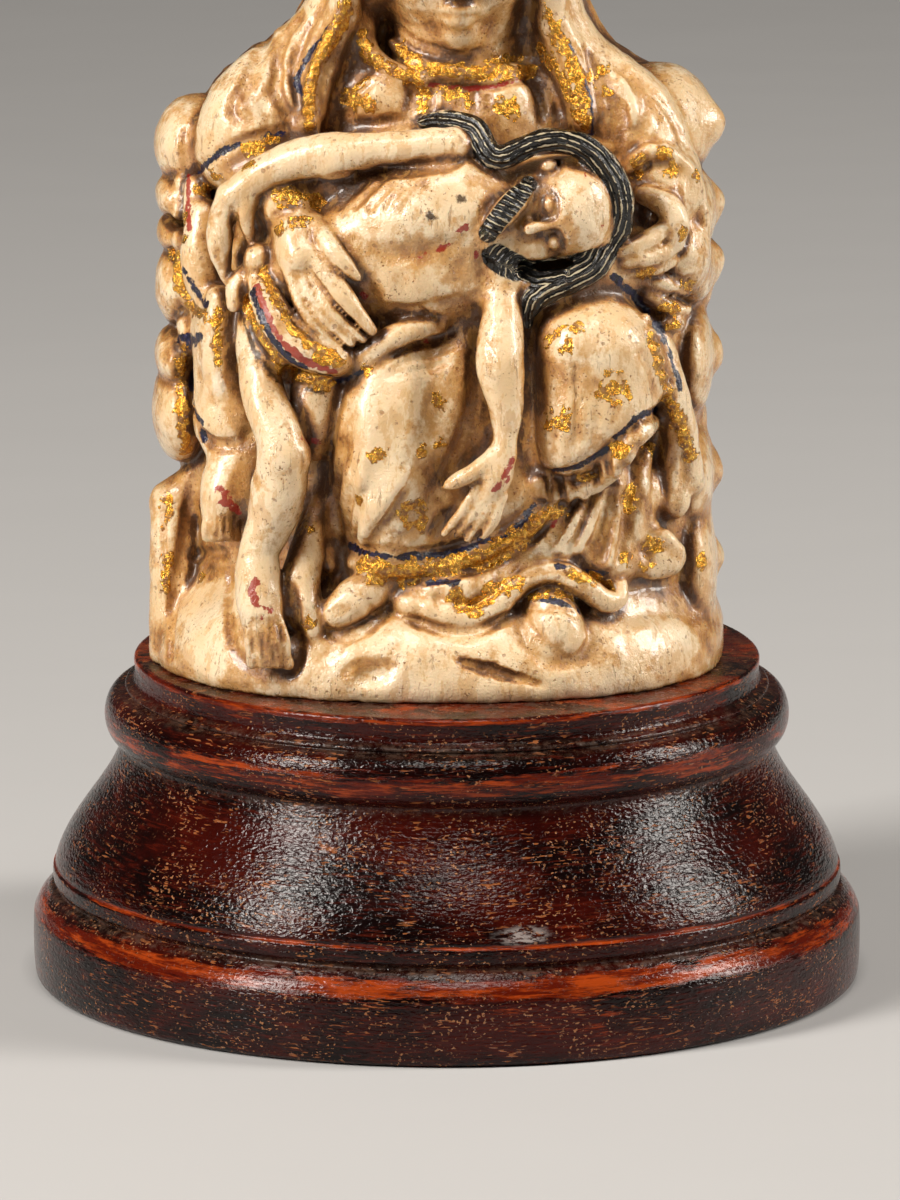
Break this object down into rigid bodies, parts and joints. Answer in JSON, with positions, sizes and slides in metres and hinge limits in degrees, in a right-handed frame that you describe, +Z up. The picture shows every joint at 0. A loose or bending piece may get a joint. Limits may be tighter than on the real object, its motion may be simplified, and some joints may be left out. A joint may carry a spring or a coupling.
{
  "type": "carved ivory pieta statuette",
  "caption": "Seated veiled woman with a reclining dead man across her lap, carved as one ivory-coloured piece with worn gilding and paint, on a round turned wooden stand",
  "frame": {"origin": "centre of the stand's underside, on the surface it stands on", "axes": "+Z up, the figures face -Y, and the dead man's head lies towards +X"},
  "size_m": [0.1036, 0.1036, 0.1483],
  "materials": {
    "old_ivory": "polished, with brown staining and worn gold, blue, red and black paint",
    "lacquered_wood": "dark red-brown lacquer, glossy, rubbed on the edges"
  },
  "bodies": {
    "root": {"carved_group": "old_ivory", "turned_stand": "lacquered_wood"}
  },
  "joints": []
}
